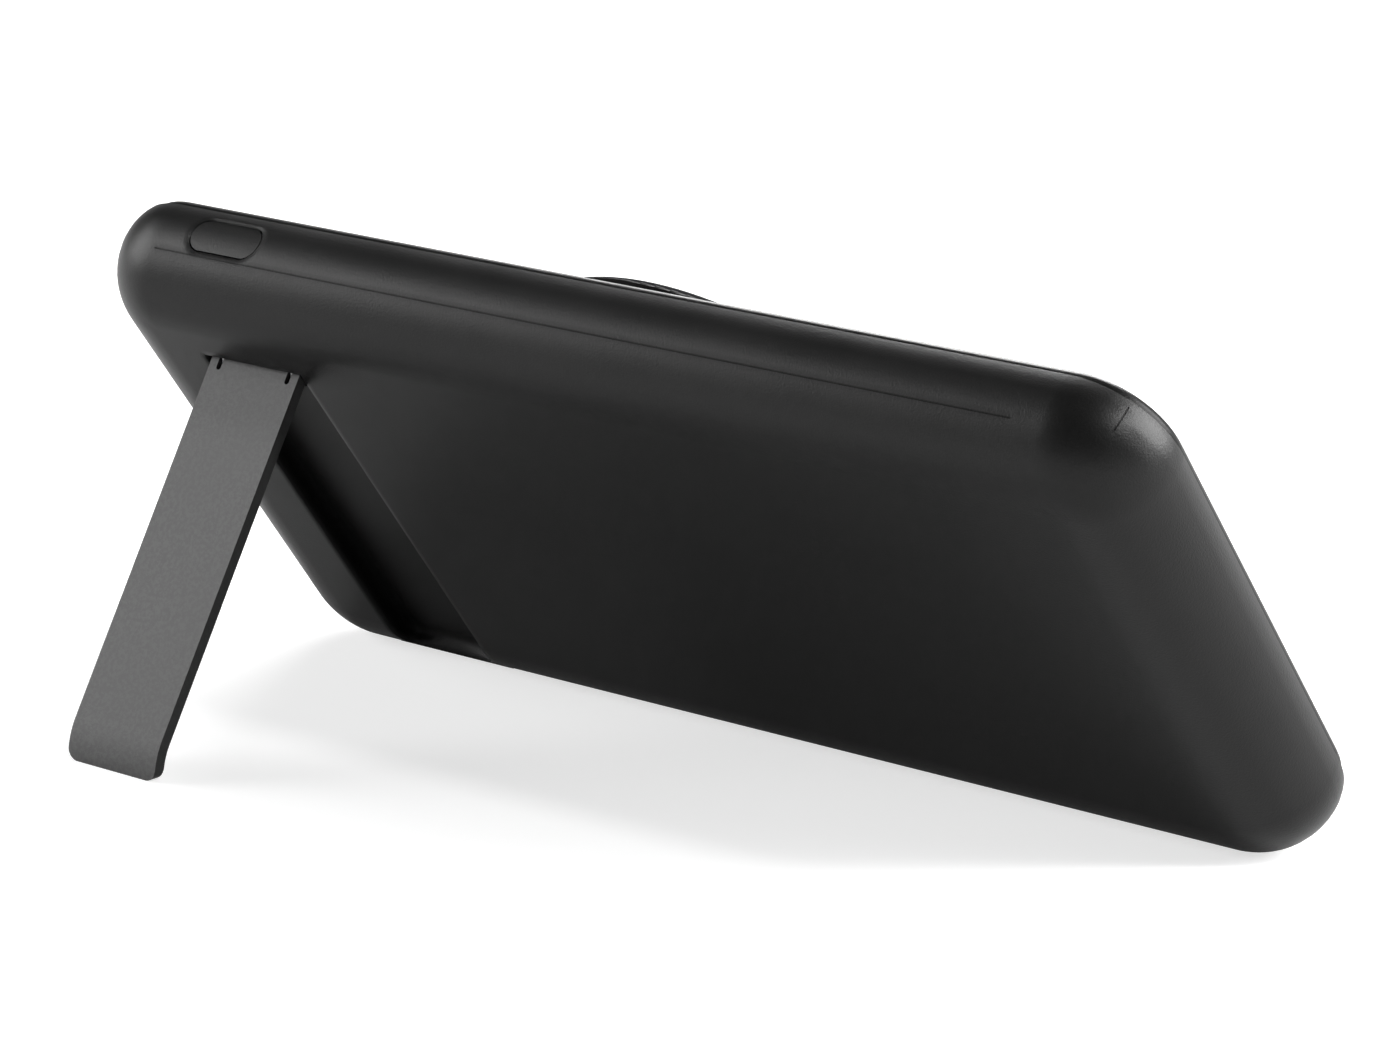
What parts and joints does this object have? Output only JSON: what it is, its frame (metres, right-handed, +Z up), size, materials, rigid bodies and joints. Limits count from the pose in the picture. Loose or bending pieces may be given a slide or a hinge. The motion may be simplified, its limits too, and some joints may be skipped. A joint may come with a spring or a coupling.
{
  "type": "wireless power bank with a fold-out stand",
  "caption": "Slim black wireless power bank standing on its long edge, its grey stand folded out of a pocket in the back and a small button in the upper side",
  "frame": {"origin": "on the table, below the middle of the whole standing device", "axes": "+X along the body towards its plain end, +Y away from the stand, +Z up from the table"},
  "size_m": [0.15, 0.0706, 0.0604],
  "materials": {
    "shell_black": "soft-touch black, very fine grain",
    "cover_black": "satin black",
    "pad_silicone": "soft matt silicone skin",
    "stand_grey": "fine-textured dark grey coating",
    "button_black": "satin black",
    "spring_steel": "plain drawn steel",
    "screw_steel": "zinc-plated steel",
    "socket_steel": "plated sheet steel",
    "socket_plastic": "moulded black insulator",
    "magnet_nickel": "nickel-plated magnet",
    "nickel_tab": "pure nickel strip",
    "coil_copper": "enamelled copper wire",
    "ferrite": "dull grey ferrite",
    "foam": "open-cell foam",
    "tape": "adhesive tape",
    "cell_foil": "satin pouch foil",
    "board": "solder-mask green",
    "chip": "moulded black package",
    "choke": "pressed iron powder",
    "capacitor": "tan ceramic",
    "white_plastic": "white moulding",
    "clear_pipe": "clear moulded light guide"
  },
  "bodies": {
    "housing": {"back_shell": "shell_black", "front_cover": "cover_black", "pad_skin": "pad_silicone", "magnet_ring": "magnet_nickel", "magnet_backplate": "spring_steel", "charging_coil": "coil_copper", "ferrite_sheet": "ferrite", "coil_leads": "coil_copper", "coil_foam": "foam", "battery_cell": "cell_foil", "cell_tape": "tape", "cell_tabs": "nickel_tab", "main_board": "board", "board_screws": "screw_steel", "usb_c_shell": "socket_steel", "usb_c_tongue": "socket_plastic", "usb_a_shell": "socket_steel", "usb_a_tongue": "socket_plastic", "side_switch": "chip", "leds": "white_plastic", "light_pipe": "clear_pipe", "power_chokes": "choke", "control_chips": "chip", "capacitors": "capacitor", "hinge_pin": "spring_steel", "hinge_bracket": "spring_steel", "bracket_screws": "screw_steel"},
    "stand": {"kickstand": "stand_grey"},
    "button": {"power_button": "button_black", "switch_plunger": "white_plastic"}
  },
  "joints": [
    {"name": "kickstand_hinge", "type": "hinge", "parent": "housing", "child": "stand", "pos_m": [-0.0512, -0.00908, 0.04301], "axis": [1, 0, 0], "range_deg": [0, 69]},
    {"name": "power_button_press", "type": "slide", "parent": "housing", "child": "button", "axis": [0, 0.6106, -0.7919], "range_m": [0, 0.0003], "stiffness_N_per_m": 800}
  ]
}
